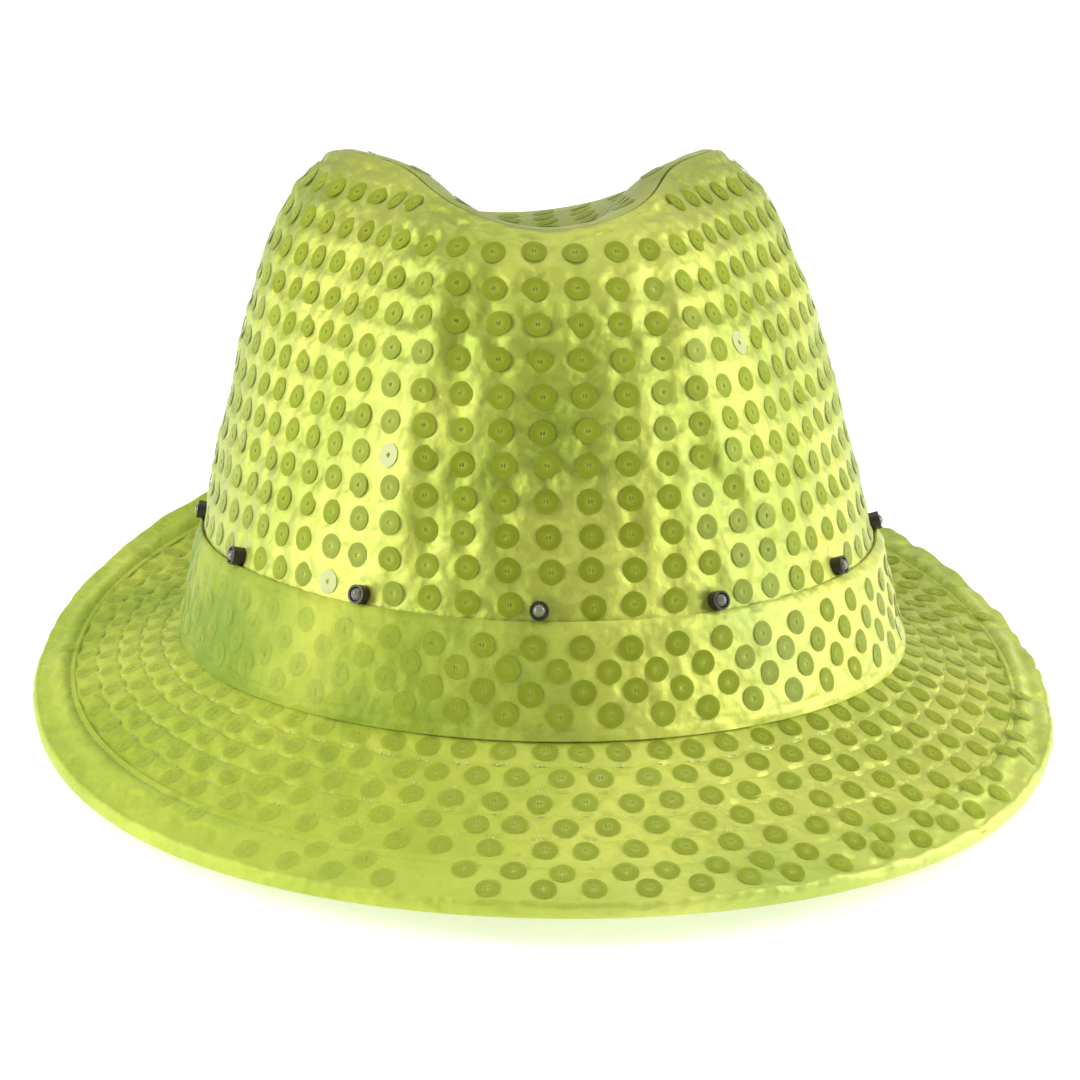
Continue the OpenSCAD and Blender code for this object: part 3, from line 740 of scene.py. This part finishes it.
finish_piece(crown_sequins, "hat", mat_sequin)


def sequin_threads(name, seat, up, other):
    """A short stitch across each sequin's hole."""
    shares = np.array([-0.85, -0.6, -0.25, 0.25, 0.6, 0.85])
    heights = np.array([-0.05, 0.05, 0.07, 0.07, 0.05, -0.05])
    paths = seat[:, None] - shares[None, :, None] * other[:, None] + heights[None, :, None] * up[:, None]
    obj = tubes(name, paths, 0.09, 6)
    return finish_piece(obj, "hat", mat_thread)


crown_threads = sequin_threads("crown_sequin_threads", seat, up, other)

# a square lattice over the tip; each seat's angle is found by turning until the rule points at it
TIP_DU, TIP_COLUMNS, TIP_ROWS, TIP_TURNS = 8.9, 7, 11, 12
gx, gy = np.meshgrid(np.arange(-TIP_COLUMNS, TIP_COLUMNS + 1), np.arange(-TIP_ROWS, TIP_ROWS + 1),
                     indexing="ij")
gx, gy = gx.ravel() * TIP_DU + LEAN, gy.ravel() * CROWN_DV + TIP_BACK
guess_a = np.degrees(np.arctan2((gx - LEAN) / TIP_HALF_W, -(gy - TIP_BACK) / TIP_HALF_L))
for _ in range(TIP_TURNS):
    rx, ry = wall_xy(guess_a, 1.0, 0.0)
    turn_error = np.arctan2(rx - LEAN, -(ry - TIP_BACK)) - np.arctan2(gx - LEAN, -(gy - TIP_BACK))
    guess_a = guess_a - np.degrees((turn_error + math.pi) % (2 * math.pi) - math.pi) * 0.8
rx, ry = wall_xy(guess_a, 1.0, 0.0)
tip_reach = np.hypot(rx - LEAN, ry - TIP_BACK)
rho = np.hypot(gx - LEAN, gy - TIP_BACK) / tip_reach
keep = (rho > 0.02) & (tip_reach * (1 - rho) > 1.6 * SEQUIN_R)
p, _, _, n = seated(tip_face, guess_a[keep], rho[keep], 0.5, -0.01)
tu = np.broadcast_to([1.0, 0, 0], n.shape) - n * n[:, :1]
tu /= np.linalg.norm(tu, axis=1, keepdims=True)
tip_sequins, seat, up, other = sequin_discs("tip_sequins", p, tu, np.cross(n, tu), n)
finish_piece(tip_sequins, "hat", mat_sequin)
tip_threads = sequin_threads("tip_sequin_threads", seat, up, other)

# ------------------------------------------------------------------ hat band
BAND_COLUMNS, BAND_ROWS, BAND_DV, BAND_ROW0, BAND_HEM = 94, 3, 9.2, 6.2, 0.55


def band_swell(a, h):
    p = wall_at(a, h, 0.0)
    folds = 0.4 * ripple(p, 34, 4) + 0.28 * ripple(p * [1, 1, 2.6], 15, 10) + 0.12 * ripple(p, 6, 2)
    column = (wrap(a) + 180) / 360 * BAND_COLUMNS - 0.25
    waves = -0.16 * np.cos(math.pi * column) * np.cos(2 * math.pi * (h - BAND_ROW0) / BAND_DV)
    crease = -0.35 * bump(h - 3.2, 0.5)
    edge = eased(h - BAND_HEM, 2) * eased(BAND_H - h, 1.5)
    return edge * (0.4 + folds + waves + crease) - 0.3 * bump(180 - np.abs(wrap(a)), 0.8)


def band_face(a, h):
    return wall_at(a, h, BAND_OUT - band_swell(a, h))


a = around(ROUND_CROWN)[None, :]
wave = 0.25 * ripple(wall_at(a, BAND_H, 0.0), 46, 8)
h = np.linspace(BAND_HEM, BAND_H, 44)[:, None]
outer = band_face(a, h)
outer[..., 2] += wave[0][None] * eased(h - 20, 6)
mid_d = (BAND_IN + BAND_OUT) / 2
top = wall_at(a, BAND_H, mid_d) + [0, 0, 0.45]
top[..., 2] += wave[0][None]
foot = wall_at(a, BAND_HEM, mid_d) - [0, 0, 0.3]
inner = wall_at(a, np.linspace(BAND_H, BAND_HEM, 6)[:, None], BAND_IN)
rows = np.concatenate([outer, top, inner, foot])
band = ring_shell("hat_band_cloth", rows, lengths(rows))
finish_piece(band, "hat", mat_band, ["hat_band"])

seats = [((c + 0.25) * 360.0 / BAND_COLUMNS - 180.0, BAND_ROW0 + BAND_DV * (k + 0.5 * (c % 2)))
         for c in range(BAND_COLUMNS) for k in range(BAND_ROWS)]
sa, sh = np.array(seats).T
sh = sh + 0.5 * ripple(wall_at(sa, sh, 0.0), 30, 5)
keep = (sh < BAND_H - 1.4) & (180 - np.abs(wrap(sa)) > 1.5)
sa, sh = sa[keep], sh[keep]
p, tu, tv, n = seated(band_face, sa, sh, 0.4, 0.4)
band_sequins, seat, up, other = sequin_discs("band_sequins", p, tu, tv, n, shine=0.012)
finish_piece(band_sequins, "hat", mat_sequin)
band_threads = sequin_threads("band_sequin_threads", seat, up, other)

# ------------------------------------------------------------------ brim
STITCH_ROWS = [0.15, 0.3, 0.45, 0.6]
BRIM_STITCHES, BINDING_STITCHES, SWEAT_STITCHES = 260, 270, 190
FLAP = 1 - BINDING_W / BRIM_W
BRIM_COLUMNS, BRIM_SEAT_ROWS, BRIM_DQ, BRIM_ROW0 = 66, 5, 0.15, 0.075


def brim_swell(a, q):
    p = brim_point(a, q, 0.0)
    ends = eased(q - 0.01, 0.04) * eased(FLAP + 0.05 - q, 0.06)
    groove = sum(bump((q - row) * BRIM_W, 0.4) for row in STITCH_ROWS)
    row = (q - BRIM_ROW0) / BRIM_DQ
    column = wrap(a) / 360.0 * BRIM_COLUMNS + 0.5 * np.round(row)
    seat = np.cos(2 * math.pi * column) * np.cos(2 * math.pi * row)
    pucker = 0.2 * ripple(p, 6, 11) * (1 + ripple(p, 33, 1))
    hem = 0.45 * eased(0.05 - q, 0.03)
    return ends * (0.4 + 0.3 * ripple(p, 41, 7) + pucker - 0.2 * seat - 0.35 * groove) + hem


def brim_face(a, q):
    return brim_point(a, q, -brim_swell(a, q))


a = around(ROUND_BRIM)[None, :]
q = np.linspace(0.012, 1, 72)[:, None]
outer = brim_face(a, q)
edge = brim_point(a, 1.0, FABRIC / 2, 0.15)
inner = brim_point(a, np.linspace(1, 0.012, 10)[:, None], FABRIC)
rows = np.concatenate([outer, edge, inner])
brim_top = ring_shell("brim_top_cloth", rows, lengths(rows))
finish_piece(brim_top, "hat", mat_brim, ["brim_top"])

seats = [((c + 0.5 * (k % 2)) * 360.0 / BRIM_COLUMNS - 180.0, BRIM_ROW0 + BRIM_DQ * k)
         for c in range(BRIM_COLUMNS) for k in range(BRIM_SEAT_ROWS)]
sa, sq = np.array(seats).T
sa = sa + 0.25 * random_seat.normal(size=len(sa))
keep = sq < FLAP - 0.02
sa, sq = sa[keep], sq[keep]
p, tu, tv, n = seated(brim_face, sa, sq, 0.4, -0.01)
brim_sequins, seat, up, other = sequin_discs("brim_sequins", p, tu, tv, n, shine=0.01, film=0.5)
finish_piece(brim_sequins, "hat", mat_sequin)
brim_threads = sequin_threads("brim_sequin_threads", seat, up, other)

stitch_paths = [stitches_along(brim_face, -180, 180, BRIM_STITCHES, row, 0.05, 0.55, 0.86)
                for row in STITCH_ROWS]
brim_stitching = tubes("brim_stitching", np.concatenate(stitch_paths), 0.22)
finish_piece(brim_stitching, "hat", mat_quilting_sheen)


def under_swell(a, q):
    p = brim_point(a, q, UNDER_DEPTH)
    ends = eased(q + 0.02, 0.06) * eased(0.9 - q, 0.06)
    groove = sum(bump((q - row) * BRIM_W, 0.6) for row in STITCH_ROWS)
    return ends * (0.1 * ripple(p, 37, 3) - 0.1 - 0.18 * groove)


def under_face(a, q):
    return brim_point(a, q, UNDER_DEPTH + under_swell(a, q))


outer = brim_point(a, np.concatenate([[UNDER_Q], np.linspace(-0.05, 1, 8)])[:, None], UNDER_DEPTH - FABRIC)
lower = under_face(a, np.concatenate([np.linspace(1, -0.05, 64), [UNDER_Q]])[:, None])
rows = np.concatenate([lower, outer])
brim_under = ring_shell("brim_under_cloth", rows, lengths(rows))
finish_piece(brim_under, "hat", mat_under, ["brim_underside"])

stitch_paths = [stitches_along(under_face, 180, -180, BRIM_STITCHES, row, 0.15, 0.02)
                for row in STITCH_ROWS]
under_stitching = tubes("brim_under_stitching", np.concatenate(stitch_paths), 0.13)
finish_piece(under_stitching, "hat", mat_thread)

# ------------------------------------------------------------------ brim binding
BIND_TOP, BIND_UNDER = -BRIM_GAP - FABRIC, UNDER_DEPTH + BRIM_GAP + FABRIC
FOLD_E, FOLD_MID = 1.0, (BIND_TOP + BIND_UNDER) / 2
FOLD_R = (BIND_UNDER - BIND_TOP) / 2


def binding_point(a, s, inset):
    """s runs 0 to 1 over the upper flap, 1 to 2 round the fold and 2 to 3 back under the brim; inset
    is how deep in the cloth the point lies. Only the outer face has rucks, the lap and stitches."""
    over, under = np.clip(s, 0, 1), np.clip(s - 2, 0, 1)
    round_turn = np.clip(s - 1, 0, 1) * math.pi
    q = np.where(s < 2, FLAP + (1 - FLAP) * over, 1 - (1 - FLAP) * under)
    d = FOLD_MID - (FOLD_R - inset) * np.cos(round_turn)
    e = 0.25 + (FOLD_E - inset) * np.sin(round_turn)
    base = brim_point(a, q, 0.0)
    flaps = np.clip(3 - np.abs(s - 1.5) * 2, 0, 1)
    right = 0.4 + 0.6 * eased(base[..., 0] - 20, 50)
    sides = np.clip(np.abs(base[..., 0]) / 60 - 0.7, 0, 1)
    rucks = (0.6 * ripple(base, 12, 2) + 0.55 * ripple(base, 6, 8)) * right + 0.2 * ripple(base, 40, 5)
    rucks = (rucks + 1.1 * sides * bump((q - FLAP) * BRIM_W - 2.6, 2.2)) * (s < 1.5)
    lap = 0.45 / (1 + np.exp(-(wrap(a) + 96) / 0.12)) / (1 + np.exp((wrap(a) + 84) / 0.5))
    stitch = -0.35 * (bump((q - FLAP) * BRIM_W - 1.3, 0.5))
    swell = np.where(inset > 0, 0, flaps * (0.15 + rucks + lap) * (s < 1.5) + stitch)
    out = np.cos(round_turn)
    return brim_point(a, q, d - swell * out, e + swell * np.sin(round_turn) * 0.6)


s = np.concatenate([np.linspace(0, 1, 17)[:-1], np.linspace(1, 2, 15)[:-1], np.linspace(2, 3, 17)])[:, None]
outer = binding_point(a, s, 0.0)
end_under = brim_point(a, FLAP, BIND_UNDER - 0.25, -0.2)
inner = binding_point(a, np.array([3, 2.6, 2.2, 2, 1.75, 1.5, 1.25, 1, 0.7, 0.3, 0])[:, None], FABRIC)
end_top = brim_point(a, FLAP, BIND_TOP + 0.25, -0.2)
rows = np.concatenate([outer, end_under, inner, end_top])
binding = ring_shell("brim_binding_cloth", rows[::-1], lengths(rows[::-1]))
finish_piece(binding, "hat", mat_binding, ["brim_binding"])


def binding_over(a, s):
    return binding_point(a, s, 0.0)


# the brim's lattice of sequins goes on over the binding
first_row = math.ceil((FLAP - BRIM_ROW0) / BRIM_DQ)
seats = [((c + 0.5 * (k % 2)) * 360.0 / BRIM_COLUMNS - 180.0, BRIM_ROW0 + BRIM_DQ * k)
         for c in range(BRIM_COLUMNS) for k in (first_row, first_row + 1)]
sa, sq = np.array(seats).T
sa = sa + 0.3 * random_seat.normal(size=len(sa))
kept = random_seat.random(len(sa)) < 0.06 + 0.94 * bump(wrap(sa - 25), 70)
kept &= (sq < 0.9) | (np.abs(wrap(sa - 15)) < 55)
sa, sq = sa[kept], np.clip(sq[kept], FLAP + 0.075, 0.93)
p, tu, tv, n = seated(binding_over, sa, (sq - FLAP) / (1 - FLAP), 0.4, -0.03)
binding_sequins, seat, up, other = sequin_discs("binding_sequins", p, tu, tv, n, shine=0.03, film=0.5)
finish_piece(binding_sequins, "hat", mat_sequin)
binding_threads = sequin_threads("binding_sequin_threads", seat, up, other)

stitch_s = 1.3 / BINDING_W
paths = np.concatenate(
    [stitches_along(binding_over, -180, 180, BINDING_STITCHES, stitch_s, 0.25, 0.2),
     stitches_along(binding_over, 180, -180, BINDING_STITCHES, 3 - stitch_s, 0.25, 0.05)])
binding_stitching = tubes("binding_stitching", paths, 0.15)
finish_piece(binding_stitching, "hat", mat_thread)

# ------------------------------------------------------------------ inside
def lining_swell(a, t):
    p = wall_point(a, t, LINING_D)
    ends = eased(0.985 - t, 0.05) * eased(t - 0.02, 0.05)
    h = t * wall_h(a, LINING_D)
    press = 1 - 0.9 * bump(wrap(a - 100), 18) * bump(h - 57, 26)
    held = eased(h - SWEAT_TOP + 1, 6)
    return ends * press * held * (0.5 + 0.4 * ripple(p, 44, 5) + 0.3 * ripple(p, 18, 0))


a = around(ROUND_LINING)[None, :]
t = np.concatenate([[0.01], np.linspace(0.05, 1, 60)])[:, None]
inner_face = wall_point(a, t, LINING_D + FABRIC + lining_swell(a, t))
outer_face = wall_point(a, np.array([1, 0.97, 0.9, 0.75, 0.6, 0.45, 0.3, 0.15, 0.01])[:, None], LINING_D)
rows = np.concatenate([inner_face, outer_face])[::-1]
lining_side = ring_shell("lining_side_cloth", rows, lengths(rows))
finish_piece(lining_side, "hat", mat_lining, ["lining_side"])

a = around(ROUND_LINING_TIP)[None, :]
limit = rim_share(a, SWEAT_D)
shares = np.linspace(0.04, 1, 40)[:, None]
p = tip_point(a, shares * limit, LINING_D + FABRIC)
sag = (0.35 + 0.35 * ripple(p, 33, 4)) * eased(1 - shares, 0.08)
lower = tip_point(a, shares * limit, LINING_D + FABRIC + sag)
upper = tip_point(a, np.array([1, 0.8, 0.6, 0.4, 0.2, 0.05])[:, None] * limit, LINING_D)
rows = np.concatenate([lower, upper])
flat_uv = np.concatenate([rows, rows[:, :1]], axis=1)[..., :2]
ends = [tip_point(0.0, 0.0, LINING_D + FABRIC + 0.4), tip_point(0.0, 0.0, LINING_D)]
lining_tip = disc_shell("lining_tip_cloth", rows, ends, flat_uv, [ends[0][:2], ends[1][:2]])
finish_piece(lining_tip, "hat", mat_lining, ["lining_tip"])


def sweat_swell(a, h):
    p = wall_at(a, h, SWEAT_D)
    return eased(h - SWEAT_FOOT, 5) * (0.3 + 0.3 * ripple(p, 52, 1) + 0.12 * ripple(p, 14, 8))


def sweat_face(a, h):
    return wall_at(a, h, INNER_D + sweat_swell(a, h))


a = around(ROUND_SWEAT)[None, :]
h = np.linspace(SWEAT_FOOT, SWEAT_TOP, 40)[:, None]
inner_face = sweat_face(a, h)
top = wall_at(a, SWEAT_TOP + 0.3, SWEAT_D + SWEAT_T / 2)
outer_face = wall_at(a, np.linspace(SWEAT_TOP, SWEAT_FOOT, 6)[:, None], SWEAT_D)
foot = wall_at(a, SWEAT_FOOT - 0.2, SWEAT_D + SWEAT_T / 2)
rows = np.concatenate([inner_face, top, outer_face, foot])[::-1]
sweatband = ring_shell("sweatband_ribbon", rows, lengths(rows))
finish_piece(sweatband, "hat", mat_sweat, ["sweatband"])

paths = np.concatenate([stitches_along(sweat_face, 180, -180, SWEAT_STITCHES, height, 0.15, 0.2)
                        for height in (0.8, SWEAT_TOP - 1.6)])
sweat_stitching = tubes("sweatband_stitching", paths, 0.15)
finish_piece(sweat_stitching, "hat", mat_white_thread)


# ------------------------------------------------------------------ studio
WORLD_LIGHT, SIDE_WATTS, TOP_WATTS, FLOOR_GLOW = 0.3, 9, 3.5, 0.5
SIDE_BOX, TOP_BOX = (0.5, 0.9), (0.8, 0.8)


def soft_light(name, place, aim, size, power):
    data = bpy.data.lights.new(name, "AREA")
    data.shape = "RECTANGLE"
    data.size, data.size_y = size
    data.energy = power
    light = bpy.data.objects.new(name, data)
    bpy.context.scene.collection.objects.link(light)
    light.location = place
    light.rotation_euler = (Vector(aim) - Vector(place)).to_track_quat("-Z", "Y").to_euler()


def studio():
    world = bpy.data.worlds.new("studio")
    world.use_nodes = True
    background = world.node_tree.nodes["Background"]
    background.inputs["Color"].default_value = (1.0, 1.0, 1.0, 1)
    background.inputs["Strength"].default_value = WORLD_LIGHT
    scene = bpy.context.scene
    scene.world = world
    scene.view_settings.view_transform = "Standard"
    middle = (0, 0, 0.06)
    soft_light("left_box", (-1.0, -0.12, 0.42), middle, SIDE_BOX, SIDE_WATTS)
    soft_light("right_box", (1.0, -0.12, 0.42), middle, SIDE_BOX, SIDE_WATTS)
    soft_light("top_box", (0.05, 0.25, 1.15), middle, TOP_BOX, TOP_WATTS)
    half_size, steps = 4.0, 8
    line = steps + 1
    corners = np.linspace(-half_size, half_size, line)
    verts = [(x, y, 0.0) for y in corners for x in corners]
    faces = [[j * line + i, j * line + i + 1, (j + 1) * line + i + 1, (j + 1) * line + i]
             for j in range(steps) for i in range(steps)]
    floor = new_mesh("studio_floor", verts, faces)
    mat, nt, bsdf = nodes_of("pale_floor")
    tone = object_noise(nt, 3.0)
    nt.links.new(ramp(nt, tone, [(0.3, (0.86, 0.86, 0.86)), (0.7, (0.9, 0.9, 0.9))]),
                 bsdf.inputs["Base Color"])
    bsdf.inputs["Roughness"].default_value = 0.8
    bsdf.inputs["Emission Color"].default_value = (1, 1, 1, 1)
    bsdf.inputs["Emission Strength"].default_value = FLOOR_GLOW
    floor.data.materials.append(mat)


def photo_camera():
    """A long lens a metre away, a little left of the front and looking down on the hat, slightly rolled."""
    azimuth, elevation, roll = math.radians(-4.82), math.radians(19.51), math.radians(1.13)
    distance, lens, sensor = 1.0, 138.7, 36
    aim = Vector((-0.0009, 0.0020, 0.0384))
    back = Vector((math.sin(azimuth) * math.cos(elevation), -math.cos(azimuth) * math.cos(elevation),
                   math.sin(elevation)))
    level = Vector((math.cos(azimuth), math.sin(azimuth), 0))
    right = Matrix.Rotation(roll, 3, back) @ level
    data = bpy.data.cameras.new("photo_camera")
    data.sensor_width = sensor
    data.lens = lens
    camera = bpy.data.objects.new("photo_camera", data)
    bpy.context.scene.collection.objects.link(camera)
    axes = Matrix((right, back.cross(right), back)).transposed().to_4x4()
    camera.matrix_world = Matrix.Translation(aim + back * distance) @ axes
    bpy.context.scene.camera = camera


studio()
photo_camera()
